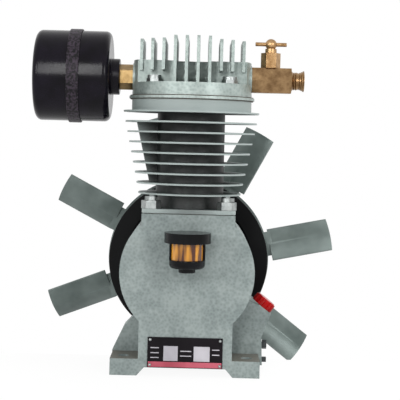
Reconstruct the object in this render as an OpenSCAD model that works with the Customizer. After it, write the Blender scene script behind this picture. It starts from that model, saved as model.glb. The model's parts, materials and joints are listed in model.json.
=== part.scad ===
/* [Crankcase] */
// Height of the crankshaft axis above the feet
axis_z = 99; // [97:1:106]
// Outside radius of the round crank chamber
case_r = 65; // [64:1:70]
// Distance from the cylinder axis to the front face
case_front = 50; // [48:1:60]
// Distance from the cylinder axis to the rear face
case_rear = 46; // [44:1:50]
// Wall thickness of the casting
case_wall = 6; // [5:0.5:7]
// Half width of the cylinder deck and of the pedestal
deck_half = 45; // [44:0.5:48]
// Height of the cylinder deck above the crankshaft axis
deck_rise = 56; // [55:1:60]
// Thickness of the cylinder deck
deck_t = 11; // [9:1:12]
// Half width over the feet
foot_half = 72; // [70:1:80]
// Half length of the feet along the crankshaft
foot_long = 50; // [48:1:56]
// Thickness of the feet
foot_t = 16; // [12:1:18]
// Height of the gap under the base between the feet
recess_h = 8; // [6:1:9]
// Spacing of the base bolts across the crankshaft
bolt_span_x = 120; // [116:1:126]
// Spacing of the base bolts along the crankshaft
bolt_span_y = 64; // [60:1:68]
// Radius of the base bolt holes
bolt_hole_r = 5.5; // [4.5:0.5:6]

/* [Crank drive] */
// Piston stroke
stroke = 44; // [40:1:46]
// Distance between the two pivots of the connecting rod
rod_length = 121; // [118:1:128]
// Radius of the cylinder bore
bore_r = 27.5; // [26:0.5:28.5]
// Radial clearance of the piston in the bore
piston_gap = 0.1; // [0.08:0.01:0.1]
// Height of the piston crown above the wrist pin
crown_rise = 22.8; // [21:0.2:25]
// Length of the piston skirt below the wrist pin
skirt_drop = 18; // [15:1:20]
// Gap between piston and cylinder top at the end of the stroke
squish = 1.2; // [1:0.1:2]
// Radius of the wrist pin
wrist_r = 7; // [6:0.5:8]
// Radius of the crank pin
crank_pin_r = 11; // [10:0.5:12]
// Width of the connecting rod at its big end
rod_w = 20; // [18:1:22]
// Radius of the crankshaft in its bearings
shaft_r = 12.5; // [12:0.25:13]
// Outside radius of the ball bearings
bearing_r = 26; // [25:0.5:27]
// Width of one ball bearing
bearing_w = 15; // [14:0.5:16]

/* [Cylinder] */
// Radius of the barrel between the fins
barrel_r = 33.7; // [33:0.5:36]
// Radius of the lowest fin
fin_low_r = 51.2; // [48:0.5:52]
// Radius of the highest fin
fin_high_r = 67.7; // [66:0.5:70]
// Thickness of a cylinder fin at its edge
fin_t = 1.6; // [1.2:0.2:2]
// Radius of the flange under the head
top_flange_r = 59.6; // [59:0.5:62]
// Thickness of the flange under the head
top_flange_t = 11; // [10:0.5:13]
// Half width of the square base flange
base_flange_half = 45.5; // [45:0.5:47]
// Thickness of the base flange
base_flange_t = 4; // [4:0.5:6]
// Distance of the base studs from the two centre planes
stud_place = 36.5; // [35:0.5:37]
// Radius of the base studs
stud_r = 5; // [4:0.5:5]

/* [Head] */
// Thickness of the valve plate
valve_plate_t = 2.6; // [2:0.2:4]
// Radius of the valve plate
valve_plate_r = 62.4; // [62:0.5:64]
// Thickness of the round disc of the head
head_disc_t = 12.3; // [11:0.5:14]
// Height of the chamber blocks above the disc
chamber_h = 22; // [20:1:26]
// Height of the tall middle fins above the disc
head_fin_h = 45; // [40:1:50]
// Spacing of the head fins
head_fin_pitch = 11.1; // [10.6:0.1:11.4]
// Thickness of a head fin
head_fin_t = 3; // [2:0.2:3.4]
// Distance of the head bolts from the cylinder axis
head_bolt_ring = 51.6; // [51:0.2:52]
// Radius of the head bolts
head_bolt_r = 4; // [3:0.5:4]
// Height of the two ports above the disc of the head
port_rise = 5.5; // [5:0.5:7]
// Radius of the pipe thread of both ports
port_r = 10.48; // [10:0.1:11]

/* [Filter] */
// Radius of the filter housing
filter_r = 45; // [42:1:50]
// Length of the filter housing
filter_long = 74; // [70:1:84]
// Length of the filter neck
neck_long = 8.7; // [8:0.5:12]
// Radius of the filter neck
neck_r = 18; // [16:0.5:20]
// Width of the band at the joint of the housing
band_w = 12; // [10:0.5:18]
// Wall of the filter housing
filter_wall = 2.5; // [2:0.25:3]

/* [Outlet] */
// Width across the flats of the outlet body
tee_flats = 25; // [24:0.5:27]
// Length of the outlet body outside the head
tee_long = 39.5; // [38:0.5:46]
// Length of the round threaded end
thread_long = 12.8; // [11:0.5:16]
// Width across the flats of the bleed valve
bleed_flats = 17; // [16:0.5:18]
// Height of the bleed valve above the outlet body
bleed_h = 15; // [13:0.5:18]
// Radius of the bleed knob
bleed_knob_r = 5.75; // [5:0.25:6.5]
// Length of the cross bar of the bleed valve
bleed_bar_long = 31.2; // [28:1:36]

/* [Oil fittings] */
// Radius of the oil cup cap
cup_cap_r = 22; // [21:0.5:24]
// Height of the oil cup cap
cup_cap_h = 9.6; // [8:0.5:11]
// Height of the oil cup cap above the crankshaft axis
cup_rise = 41; // [38:1:43]
// Radius of the oil cup cage
cup_r = 17; // [16:0.5:18]
// Length of the oil cup below its cap
cup_long = 24; // [22:1:26]
// Distance of the filler spout mouth beyond the round crank chamber
spout_reach = 10; // [9:0.5:13]
// Height of the filler spout mouth
spout_z = 63; // [61:0.5:65]
// Angle of the filler spout above the horizontal
spout_angle = 52; // [50:1:55]
// Radius of the filler spout
spout_r = 11.5; // [10.5:0.5:12]

/* [Flywheel] */
// Outside radius of the belt pulley
pulley_r = 84; // [80:1:90]
// Width of the pulley rim
pulley_w = 23; // [22:0.5:26]
// Width of the belt groove at the rim
groove_w = 13; // [12:0.5:14]
// Depth of the belt groove
groove_depth = 13; // [12:0.5:14]
// Angle between the two sides of the belt groove
groove_angle = 36; // [34:1:38]
// How far the fan disc stands out past the pulley
fan_lip = 2; // [1:0.5:4]
// Radius to the tips of the fan blades
fan_r = 155; // [145:1:165]
// Angles of the eight fan blades seen from the front, anticlockwise from the right
blade_angles = [11.5, 62, 104, 152.5, 201, 246, 284, 322.5];
// Chord of a fan blade
blade_chord = 37; // [34:1:40]
// Pitch angle of a fan blade
blade_pitch = 30; // [25:1:35]
// Thickness of the sheet of the fan
fan_sheet = 2; // [1.5:0.25:2.5]

/* [Hidden] */
$fn = 64;

// Clearance of a fixed fit, clearance of a turning fit, and the overrun of every cut
seat_gap = 0.02;
run_gap = 0.06;
over = 1;

// Stack from the crankshaft up to the head
gasket_t = 0.6;
throw = stroke / 2;
deck_z = axis_z + deck_rise;
base_z = deck_z + gasket_t;
big_end_z = axis_z + throw;
wrist_z = big_end_z + rod_length;
crown_z = wrist_z + crown_rise;
cylinder_top = crown_z + squish;
head_gasket_t = 0.8;
plate_z = cylinder_top + head_gasket_t;
plate_top = plate_z + valve_plate_t;
head_z = plate_top + head_gasket_t;
disc_top = head_z + head_disc_t;
block_top = disc_top + chamber_h;
port_z = disc_top + port_rise;
bolt_place = head_bolt_ring * sqrt(2) / 2;

// Chain along the crankshaft, from the rod back to the fan
web_y = rod_w / 2 + 4;
web_t = 12;
pin_end_gap = 0.3;
shoulder_w = 2;
bearing_y = web_y + web_t + shoulder_w;
bearing_apart = 4;
second_bearing_y = bearing_y + bearing_w + bearing_apart;
seal_y = second_bearing_y + bearing_w;
seal_w = 7;
housing_end = seal_y + seal_w;
hub_gap = 3;
pulley_y = housing_end + hub_gap;
pulley_mid = pulley_y + pulley_w / 2;
pulley_end = pulley_y + pulley_w;
disc_end = pulley_end + fan_sheet;
seat_r = shaft_r - 0.5;
thread_r = 8;
nut_h = 13;
thread_end = disc_end + nut_h + 4;

// Sizes of small fasteners: flats of a hexagon are this share of the thread radius
flats_share = 3.4;
nut_h_share = 1.6;
pedestal_floor = recess_h + case_wall;
chamber_r = case_r - case_wall;
opening_r = chamber_r - 12;
cup_gap = 0.5;
cup_y = -case_front - cup_cap_r - cup_gap;
spout_out = case_r + spout_reach;
cup_top = axis_z + cup_rise;
cup_cap_z = cup_top - cup_cap_h;
tee_x = top_flange_r - 0.6;
bleed_place = 18.7;
bleed_x = tee_x + bleed_place;
wing_front = -8;
wing_rear = 14;
wing_y = (wing_front + wing_rear) / 2;

module hex_bar(flats, h) {
    cylinder(r = flats / sqrt(3), h = h, $fn = 6);
}
// Turns a shape drawn upwards so that it lies along +Y or along +X
module along_y(y) {
    translate([0, y, 0]) rotate([-90, 0, 0]) children();
}
module along_x(x, z) {
    translate([x, 0, z]) rotate([0, 90, 0]) children();
}
// Places a flat drawing of x and z so that it fills the space from y0 to y1
module front_slab(y0, y1) {
    translate([0, y1, 0]) rotate([90, 0, 0]) linear_extrude(y1 - y0) children();
}
module corners(place_x, place_y) {
    for (sx = [-1, 1], sy = [-1, 1]) translate([sx * place_x, sy * place_y, 0]) children();
}
module ring(r_out, r_in, h) {
    difference() {
        cylinder(r = r_out, h = h);
        translate([0, 0, -over]) cylinder(r = r_in, h = h + 2 * over);
    }
}
module rounded_square(half, r) {
    square([2 * half, 2 * (half - r)], center = true);
    square([2 * (half - r), 2 * half], center = true);
    corners(half - r, half - r) circle(r = r);
}
module nut(r, h) {
    difference() {
        hex_bar(r * flats_share, h);
        translate([0, 0, -over]) cylinder(r = r + seat_gap, h = h + 2 * over);
    }
}

// Crankcase values
rear_wall_t = 10;
spigot_r = bore_r + 3;
spigot_drop = 4;
stud_depth = 9;
housing_screw_ring = opening_r + 7;
housing_screw_r = 3;
housing_screw_depth = 8;
left_wing_shares = [[0.6, 0.05], [0.6, 0.54], [0.74, 0.5], [0.855, 0.41], [1.01, 0.165], [1, 0.05]];
spout_foot_shares = [[1.045, 0.33], [1.06, 0.05], [0.6, 0.05], [0.6, 0.5], [0.8, 0.76]];
block_side = foot_half * spout_foot_shares[1][0];
spout_bore_r = 7;
spout_bore_depth = 32;
fill_passage_z = spout_z - spout_bore_depth * sin(spout_angle);
level_z = 24;
drain_z = 9;
plug_bore_r = 2.5;
plug_bore_depth = 12;
plate_half = 36;
plate_low = recess_h + 0.5;
plate_tall = 29;
plate_high = plate_low + plate_tall;
plate_t = 1;
rivet_inset = 2.5;
rivet_r = 1;
rivet_head_r = 1.5;
rivet_depth = 3;
stem_r = 4;
stem_z = cup_cap_z + cup_cap_h / 2;

module at_spout() {
    translate([spout_out, wing_y, spout_z]) rotate([0, 90 - spout_angle, 0]) children();
}
module case_outline() {
    intersection() {
        translate([0, axis_z]) circle(r = case_r);
        translate([-case_r, 0]) square([2 * case_r, deck_z - deck_t]);
    }
    translate([-deck_half, 0]) square([2 * deck_half, deck_z]);
}
module chamber_outline() {
    intersection() {
        translate([0, axis_z]) circle(r = chamber_r);
        translate([-case_r, 0]) square([2 * case_r, deck_z - deck_t]);
    }
    half = deck_half - case_wall;
    translate([-half, pedestal_floor]) square([2 * half, axis_z - pedestal_floor]);
}
module spout_block_outline() {
    across = [spout_r * sin(spout_angle), -spout_r * cos(spout_angle)];
    mouth = [spout_out, spout_z];
    polygon(concat([mouth - across, mouth + across],
        [for (s = spout_foot_shares) [foot_half * s[0], axis_z * s[1]]]));
}
module crankcase_solid() {
    front_slab(-case_front, case_rear) case_outline();
    for (side = [-1, 1])
        translate([side > 0 ? 0 : -foot_half, -foot_long, 0]) cube([foot_half, 2 * foot_long, foot_t]);
    front_slab(wing_front, wing_rear)
        polygon([for (s = left_wing_shares) [-foot_half * s[0], axis_z * s[1]]]);
    front_slab(wing_front, wing_rear) spout_block_outline();
    at_spout() translate([0, 0, -spout_bore_depth]) cylinder(r = spout_r, h = spout_bore_depth);
}
module crankcase() color([0.58, 0.63, 0.61]) difference() {
    crankcase_solid();
    front_slab(-case_front + case_wall, case_rear - rear_wall_t) chamber_outline();
    along_y(-case_front + case_wall) translate([0, -axis_z, 0])
        cylinder(r = opening_r, h = case_front + case_rear);
    translate([0, 0, axis_z]) cylinder(r = spigot_r + seat_gap, h = deck_rise + over);
    // Gap under the base, wider at its mouth
    front_slab(-foot_long - over, foot_long + over) {
        half = deck_half - case_wall;
        polygon([[-half, recess_h], [half, recess_h], [half + recess_h, -over], [-half - recess_h, -over]]);
    }
    corners(bolt_span_x / 2, bolt_span_y / 2) translate([0, 0, -over])
        cylinder(r = bolt_hole_r, h = foot_t + 2 * over);
    corners(stud_place, stud_place) translate([0, 0, deck_z - stud_depth])
        cylinder(r = stud_r + seat_gap, h = stud_depth + over);
    housing_screws_at(case_rear - housing_screw_depth)
        cylinder(r = housing_screw_r + seat_gap, h = housing_screw_depth + over);
    // Filler bore with its cross passage, level bore and drain bore into the sump
    at_spout() translate([0, 0, -spout_bore_depth]) cylinder(r = spout_bore_r + run_gap, h = spout_bore_depth + over);
    passage_x = spout_out - spout_bore_depth * cos(spout_angle);
    translate([0, wing_y, fill_passage_z]) rotate([0, 90, 0])
        cylinder(r = spout_bore_r - over, h = passage_x);
    translate([0, wing_y, 0]) along_x(0, level_z) cylinder(r = plug_bore_r + seat_gap, h = block_side + over);
    translate([0, wing_y, 0]) along_x(block_side - plug_bore_depth, drain_z)
        cylinder(r = plug_bore_r + seat_gap, h = plug_bore_depth + over);
    sump_side = deck_half - case_wall;
    drain_run = block_side - plug_bore_depth - sump_side + over;
    translate([block_side - plug_bore_depth + over, wing_y, drain_z])
        rotate([0, -atan2(drain_run, pedestal_floor - drain_z + plug_bore_r), 0])
            cylinder(r = plug_bore_r - run_gap, h = drain_run + 2 * plug_bore_r);
    name_plate_corners(-case_front - over) cylinder(r = rivet_r + seat_gap, h = rivet_depth + over);
    along_y(-case_front - over) translate([0, -stem_z, 0])
        cylinder(r = stem_r + seat_gap, h = case_wall + 2 * over);
}
module name_plate_corners(y) {
    x = plate_half - rivet_inset;
    for (px = [-x, x], pz = [plate_low + rivet_inset, plate_high - rivet_inset])
        translate([px, y, pz]) rotate([-90, 0, 0]) children();
}
module housing_screws_at(y) {
    for (a = [0:60:300]) along_y(y) translate([housing_screw_ring * cos(a), -axis_z - housing_screw_ring * sin(a), 0])
        children();
}
module on_axis(y) {
    translate([0, y, axis_z]) rotate([-90, 0, 0]) children();
}

// Rear bearing housing
housing_flange_t = 8;
housing_y = case_rear + gasket_t;
housing_wall = 6;
seal_r = shaft_r + 7.5;
spigot_in = 6;
module rear_bearing_housing() color([0.5, 0.55, 0.53]) difference() {
    union() {
        on_axis(housing_y) cylinder(r = case_r - over, h = housing_flange_t);
        on_axis(housing_y - spigot_in) cylinder(r = opening_r - seat_gap, h = spigot_in + over);
        on_axis(bearing_y - over / 2) cylinder(r = bearing_r + housing_wall, h = housing_end - bearing_y + over / 2);
    }
    on_axis(bearing_y - over) cylinder(r = bearing_r + seat_gap, h = seal_y - bearing_y + over);
    on_axis(bearing_y) cylinder(r = seal_r + seat_gap, h = housing_end - bearing_y + over);
    housing_screws_at(housing_y - over) cylinder(r = housing_screw_r + run_gap, h = housing_flange_t + 2 * over);
}
module rear_gasket() color([0.25, 0.22, 0.2]) difference() {
    on_axis(case_rear) ring(case_r - over, opening_r + seat_gap, gasket_t);
    housing_screws_at(case_rear - over) cylinder(r = housing_screw_r + run_gap, h = gasket_t + 2 * over);
}
module rear_housing_screws() color([0.7, 0.7, 0.7]) {
    screw_long = housing_screw_depth + gasket_t + housing_flange_t;
    housing_screws_at(housing_y + housing_flange_t - screw_long) cylinder(r = housing_screw_r, h = screw_long);
    housing_screws_at(housing_y + housing_flange_t)
        hex_bar(housing_screw_r * flats_share, housing_screw_r * nut_h_share);
}
module shaft_oil_seal() color([0.1, 0.1, 0.1])
    on_axis(seal_y) ring(seal_r, shaft_r + run_gap, seal_w);

// Ball bearings: balls run in round grooves of the two races
ball_r = 3.9;
ball_ring = (shaft_r + bearing_r) / 2;
ball_groove_r = ball_r + 0.12;
race_land = 2.4;
ball_count = 9;
module race(r_in, r_out) {
    for (y = [bearing_y, second_bearing_y]) on_axis(y) rotate_extrude() difference() {
        translate([r_in, 0]) square([r_out - r_in, bearing_w]);
        translate([ball_ring, bearing_w / 2]) circle(r = ball_groove_r);
    }
}
module bearing_outer_races() color([0.75, 0.76, 0.78]) race(ball_ring + race_land, bearing_r);
module bearing_inner_races() color([0.75, 0.76, 0.78]) race(shaft_r + seat_gap, ball_ring - race_land);
module bearing_balls() color([0.85, 0.86, 0.88]) for (y = [bearing_y, second_bearing_y])
    for (i = [1:ball_count]) on_axis(y + bearing_w / 2) rotate([0, 0, i * 360 / ball_count])
        translate([ball_ring, 0, 0]) sphere(r = ball_r);

// Cylinder
fin_count = 9;
neck_h = 14;
neck_r_share = 0.935;
fin_root_share = 1.5;
fin_top_z = cylinder_top - top_flange_t - fin_t / 2;
fin_low_z = base_z + base_flange_t + neck_h;
fin_pitch = (fin_top_z - fin_low_z) / (fin_count - 1);
flange_corner_r = 9;
web_half = 7;
web_shares = [[0.79, 6.9], [1.06, 1], [0.61, 1], [0.61, 6.9]];
head_bolt_depth = top_flange_t - over;
module cylinder_fins() {
    for (i = [0:fin_count - 1]) {
        tip = fin_high_r + (fin_low_r - fin_high_r) * i / (fin_count - 1);
        root = fin_t * fin_root_share;
        translate([0, 0, fin_top_z - i * fin_pitch]) rotate_extrude() polygon([[bore_r + over, -root / 2],
            [tip, -fin_t / 2], [tip, fin_t / 2], [bore_r + over, root / 2]]);
    }
}
module cylinder_body() color([0.3, 0.35, 0.33]) difference() {
    union() {
        translate([0, 0, base_z]) linear_extrude(base_flange_t) rounded_square(base_flange_half, flange_corner_r);
        translate([0, 0, base_z - gasket_t - spigot_drop])
            cylinder(r = spigot_r, h = spigot_drop + gasket_t + base_flange_t);
        translate([0, 0, base_z]) cylinder(r = barrel_r * neck_r_share, h = cylinder_top - base_z);
        translate([0, 0, fin_low_z]) cylinder(r = barrel_r, h = cylinder_top - fin_low_z);
        translate([0, 0, cylinder_top - top_flange_t]) cylinder(r = top_flange_r, h = top_flange_t);
        cylinder_fins();
        front_slab(-web_half, web_half) polygon([for (s = web_shares)
            [-fin_low_r * s[0], fin_top_z - s[1] * fin_pitch]]);
    }
    translate([0, 0, base_z - gasket_t - spigot_drop - over]) cylinder(r = bore_r, h = cylinder_top);
    corners(stud_place, stud_place) translate([0, 0, base_z - over])
        cylinder(r = stud_r + run_gap, h = base_flange_t + 2 * over);
    corners(bolt_place, bolt_place) translate([0, 0, cylinder_top - head_bolt_depth])
        cylinder(r = head_bolt_r + seat_gap, h = head_bolt_depth + over);
}
module base_gasket() color([0.25, 0.22, 0.2]) translate([0, 0, deck_z]) linear_extrude(gasket_t) difference() {
    rounded_square(base_flange_half - over, flange_corner_r);
    circle(r = spigot_r + seat_gap);
    corners(stud_place, stud_place) circle(r = stud_r + run_gap);
}
stud_nut_h = stud_r * nut_h_share;
stud_stick = 4;
module cylinder_studs() color([0.8, 0.8, 0.78]) corners(stud_place, stud_place)
    translate([0, 0, deck_z - stud_depth])
        cylinder(r = stud_r, h = stud_depth + gasket_t + base_flange_t + stud_nut_h + stud_stick);
module cylinder_nuts() color([0.8, 0.8, 0.78]) corners(stud_place, stud_place)
    translate([0, 0, base_z + base_flange_t]) nut(stud_r, stud_nut_h);

// Valve plate, gaskets and reeds: suction on the left, discharge on the right
reed_x = 13;
reed_half = 6;
reed_t = 0.5;
reed_gap = 0.05;
reed_root_y = 17;
reed_tip_y = -16;
reed_screw_y = 11.5;
reed_screw_r = 1.5;
reed_head_t = 0.5;
reed_play = 0.25;
reed_lift = 1.3;
valve_hole_y = -8;
valve_hole_r = 4.5;
stop_t = 1.6;
divider_half = 3;
valve_opening_r = bore_r + 0.2;
module bolt_ring_holes(z, h) {
    corners(bolt_place, bolt_place) translate([0, 0, z - over]) cylinder(r = head_bolt_r + run_gap, h = h + 2 * over);
}
module head_gaskets() color([0.3, 0.28, 0.25]) difference() {
    union() {
        translate([0, 0, cylinder_top]) ring(valve_plate_r - over, valve_opening_r, head_gasket_t);
        translate([0, 0, plate_top]) ring(valve_plate_r - over, valve_opening_r, head_gasket_t);
        translate([-divider_half, -valve_opening_r - over, plate_top])
            cube([2 * divider_half, 2 * (valve_opening_r + over), head_gasket_t]);
    }
    bolt_ring_holes(cylinder_top, head_z - cylinder_top);
}
module valve_plate() color([0.55, 0.57, 0.56]) difference() {
    translate([0, 0, plate_z]) cylinder(r = valve_plate_r, h = valve_plate_t);
    bolt_ring_holes(plate_z, valve_plate_t);
    for (side = [-1, 1]) translate([side * reed_x, valve_hole_y, plate_z - over])
        cylinder(r = valve_hole_r, h = valve_plate_t + 2 * over);
    for (side = [-1, 1]) translate([side * reed_x, reed_screw_y, plate_z - over])
        cylinder(r = reed_screw_r + seat_gap, h = valve_plate_t + 2 * over);
}
module reed_blade(side, z) {
    translate([side * reed_x, 0, z]) difference() {
        union() {
            translate([-reed_half, reed_tip_y + reed_half, 0])
                cube([2 * reed_half, reed_root_y - reed_tip_y - reed_half, reed_t]);
            translate([0, reed_tip_y + reed_half, 0]) cylinder(r = reed_half, h = reed_t);
        }
        translate([0, reed_screw_y, -over]) cylinder(r = reed_screw_r + reed_play, h = reed_t + 2 * over);
    }
}
module suction_reed() color([0.6, 0.63, 0.7]) reed_blade(-1, plate_z - reed_gap - reed_t);
module discharge_reed() color([0.6, 0.63, 0.7]) reed_blade(1, plate_top + reed_gap);
stop_z = plate_top + reed_gap + reed_t + reed_play;
module reed_stop() color([0.5, 0.5, 0.52]) translate([reed_x, 0, stop_z]) difference() {
    union() {
        translate([-reed_half, reed_screw_y - 2 * reed_screw_r, 0])
            cube([2 * reed_half, reed_root_y - reed_screw_y + 2 * reed_screw_r, stop_t]);
        translate([-reed_half, reed_tip_y, reed_lift]) cube([2 * reed_half, reed_root_y - reed_tip_y, stop_t]);
    }
    translate([0, reed_screw_y, -over]) cylinder(r = reed_screw_r + seat_gap, h = reed_lift + stop_t + 2 * over);
}
module reed_screws() color([0.7, 0.7, 0.7]) {
    suction_head = plate_z - reed_gap - reed_t - reed_play;
    translate([-reed_x, reed_screw_y, suction_head - reed_head_t]) cylinder(r = 2 * reed_screw_r, h = reed_head_t);
    translate([-reed_x, reed_screw_y, suction_head - reed_head_t])
        cylinder(r = reed_screw_r, h = plate_top - suction_head + reed_head_t);
    discharge_head = stop_z + reed_lift + stop_t;
    translate([reed_x, reed_screw_y, discharge_head]) cylinder(r = 2 * reed_screw_r, h = reed_screw_r);
    translate([reed_x, reed_screw_y, plate_z]) cylinder(r = reed_screw_r, h = discharge_head - plate_z + over);
}

// Cylinder head
block_r = top_flange_r - 1;
block_half_y = 24;
waist_half_x = 16.5;
waist_half_y = 12;
chamber_half_y = 17;
chamber_roof = 5;
chamber_end_x = 46;
fin_step = 2.5;
bolt_room = 11.5;
fin_corner_r = 5;
port_boss_r = 14.5;
port_depth = 12;
port_bore_r = 7;
module head_fin(x, low, top) {
    half = sqrt(pow(block_r, 2) - pow(x, 2)) - over;
    translate([x - head_fin_t / 2, 0, low]) rotate([90, 0, 90]) linear_extrude(head_fin_t) {
        translate([-half, 0]) square([2 * half, top - low - fin_corner_r]);
        translate([fin_corner_r - half, 0]) square([2 * (half - fin_corner_r), top - low]);
        for (side = [-1, 1]) translate([side * (half - fin_corner_r), top - low - fin_corner_r])
            circle(r = fin_corner_r);
    }
}
module head_solid() {
    translate([0, 0, head_z]) cylinder(r = top_flange_r, h = head_disc_t);
    intersection() {
        translate([0, 0, disc_top - over]) cylinder(r = block_r, h = chamber_h + over);
        difference() {
            translate([-block_r, -block_half_y, disc_top - over]) cube([2 * block_r, 2 * block_half_y, chamber_h + over]);
            for (side = [-1, 1]) translate([-waist_half_x, side > 0 ? waist_half_y : -2 * block_half_y, disc_top])
                cube([2 * waist_half_x, 2 * block_half_y - waist_half_y, chamber_h + over]);
        }
    }
    along_x(-tee_x, port_z) cylinder(r = port_boss_r, h = 2 * tee_x);
    for (i = [0:9]) {
        middle = i > 2 && i < 7;
        head_fin((i - 4.5) * head_fin_pitch, middle ? disc_top - over : disc_top + bolt_room,
            disc_top + head_fin_h - (middle ? 0 : fin_step));
    }
}
spot_face_depth = 5;
module cylinder_head() color([0.55, 0.6, 0.57]) difference() {
    head_solid();
    bolt_ring_holes(head_z, head_disc_t);
    for (side = [-1, 1]) {
        translate([side > 0 ? divider_half : -waist_half_x - over, -chamber_half_y, head_z - over])
            cube([waist_half_x + over - divider_half, 2 * chamber_half_y, head_disc_t - chamber_roof + over]);
        translate([side > 0 ? waist_half_x : -chamber_end_x, -chamber_half_y, head_z - over])
            cube([chamber_end_x - waist_half_x, 2 * chamber_half_y, head_disc_t + chamber_h - chamber_roof + over]);
        along_x(side > 0 ? chamber_end_x - over : -tee_x - over, port_z)
            cylinder(r = port_bore_r, h = tee_x - chamber_end_x + 2 * over);
        along_x(side > 0 ? tee_x - port_depth : -tee_x - over, port_z)
            cylinder(r = port_r + seat_gap, h = port_depth + over);
        along_x(side > 0 ? tee_x : -tee_x - spot_face_depth, port_z)
            cylinder(r = tee_flats / sqrt(3) + over, h = spot_face_depth);
    }
}
head_bolt_head_h = 6.5;
module head_bolts() color([0.82, 0.83, 0.82]) corners(bolt_place, bolt_place) {
    translate([0, 0, cylinder_top - head_bolt_depth + over])
        cylinder(r = head_bolt_r, h = disc_top - cylinder_top + head_bolt_depth);
    translate([0, 0, disc_top]) difference() {
        hex_bar(head_bolt_r * flats_share, head_bolt_head_h);
        translate([0, 0, head_bolt_head_h / 2]) ring(4 * head_bolt_r, head_bolt_r * flats_share / 2, head_bolt_head_h);
    }
}

// Inlet nipple and filter, drawn upwards from the head and turned to the left
nipple_long = 13.3;
nipple_screw = 8;
nipple_flats = 22;
pipe_bore_r = 7;
shoulder_r = 6;
band_out = 1.7;
band_share = 0.39;
filter_x = tee_x + nipple_long + neck_long;
joint_at = band_w / 2 + filter_long * band_share;
element_in = 20;
element_r = 37;
module to_left(x) {
    translate([-x, 0, port_z]) rotate([0, -90, 0]) children();
}
module intake_nipple() color([0.75, 0.6, 0.35]) difference() {
    union() {
        to_left(tee_x) hex_bar(nipple_flats, nipple_long);
        to_left(tee_x - nipple_screw) cylinder(r = port_r, h = nipple_long + 2 * nipple_screw);
    }
    to_left(tee_x - nipple_screw - over) cylinder(r = pipe_bore_r, h = nipple_long + 2 * (nipple_screw + over));
}
module filter_body() color([0.06, 0.05, 0.08]) difference() {
    union() {
        translate([-filter_x - joint_at, 0, port_z]) rotate([0, 90, 0]) filter_cup(filter_r, joint_at);
        to_left(filter_x - neck_long) cylinder(r = neck_r, h = neck_long + over);
    }
    to_left(filter_x + shoulder_r / 2) cylinder(r = filter_r - filter_wall, h = joint_at);
    to_left(filter_x - neck_long - over) cylinder(r = port_r + seat_gap, h = neck_long + shoulder_r + 2 * over);
}
module filter_cup(r, long) {
    rotate_extrude() {
        square([r - shoulder_r, long]);
        square([r, long - shoulder_r]);
        translate([r - shoulder_r, long - shoulder_r]) intersection() {
            circle(r = shoulder_r);
            square([shoulder_r, shoulder_r]);
        }
    }
}
module filter_cover() color([0.06, 0.05, 0.08]) difference() {
    to_left(filter_x + joint_at) filter_cup(filter_r, filter_long - joint_at);
    to_left(filter_x + joint_at - over)
        cylinder(r = filter_r - filter_wall, h = filter_long - joint_at - filter_wall + over - shoulder_r / 2);
}
module filter_band() color([0.22, 0.19, 0.22])
    to_left(filter_x + joint_at - band_w / 2) ring(filter_r + band_out, filter_r + run_gap, band_w);
module filter_element() color([0.85, 0.8, 0.65])
    to_left(filter_x + shoulder_r / 2) ring(element_r, element_in, filter_long - filter_wall - shoulder_r);

// Outlet tee and bleed valve
tee_top = port_z + tee_flats / 2;
tee_screw = 10;
bleed_spigot_r = 5;
bleed_spigot = 6;
spindle_r = 2.5;
bleed_top = tee_top + bleed_h;
knob_gap = 0.3;
knob_h = 14;
knob_waist_share = 0.72;
knob_low = bleed_top + knob_gap;
bar_r = 2;
bar_rise_share = 0.6;
spindle_in_knob = 5;
bar_z = knob_low + knob_h * bar_rise_share;
module outlet_tee() color([0.62, 0.53, 0.38]) difference() {
    union() {
        along_x(tee_x, port_z) rotate([0, 0, 30]) hex_bar(tee_flats, tee_long);
        along_x(tee_x - tee_screw, port_z) cylinder(r = port_r, h = tee_screw + tee_long + thread_long);
    }
    along_x(tee_x - tee_screw - over, port_z)
        cylinder(r = pipe_bore_r, h = tee_screw + tee_long + thread_long + 2 * over);
    translate([bleed_x, 0, port_z]) cylinder(r = spindle_r + seat_gap, h = tee_flats);
    translate([bleed_x, 0, tee_top - bleed_spigot + pipe_bore_r / 4])
        cylinder(r = bleed_spigot_r + seat_gap, h = bleed_spigot);
}
module bleed_valve_body() color([0.72, 0.54, 0.35]) difference() {
    union() {
        translate([bleed_x, 0, tee_top]) hex_bar(bleed_flats, bleed_h);
        translate([bleed_x, 0, tee_top - bleed_spigot + pipe_bore_r / 4])
            cylinder(r = bleed_spigot_r, h = bleed_spigot);
    }
    translate([bleed_x, 0, port_z]) cylinder(r = spindle_r + run_gap, h = bleed_h + tee_flats);
    translate([bleed_x, 0, tee_top + bleed_h / 2]) rotate([-90, 0, 0]) cylinder(r = over, h = bleed_flats);
}
module bleed_spindle() color([0.7, 0.6, 0.4]) translate([bleed_x, 0, tee_top - bleed_spigot + pipe_bore_r / 4])
    cylinder(r = spindle_r, h = knob_low + spindle_in_knob - tee_top + bleed_spigot - pipe_bore_r / 4);
module bleed_knob() color([0.72, 0.54, 0.35]) difference() {
    translate([bleed_x, 0, knob_low]) rotate_extrude() {
        square([bleed_knob_r, knob_h * (1 - knob_waist_share)]);
        square([bleed_knob_r * knob_waist_share, knob_h * bar_rise_share]);
        translate([0, knob_h - bleed_knob_r]) intersection() {
            circle(r = bleed_knob_r);
            translate([0, -bleed_knob_r]) square([bleed_knob_r, 2 * bleed_knob_r]);
        }
    }
    translate([bleed_x, 0, knob_low - over]) cylinder(r = spindle_r + run_gap, h = spindle_in_knob + run_gap + over);
    along_x(bleed_x - bleed_knob_r - over, bar_z) cylinder(r = bar_r + seat_gap, h = 2 * (bleed_knob_r + over));
}
module bleed_tee_bar() color([0.66, 0.5, 0.35])
    along_x(bleed_x - bleed_bar_long / 2, bar_z) cylinder(r = bar_r, h = bleed_bar_long);

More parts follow.
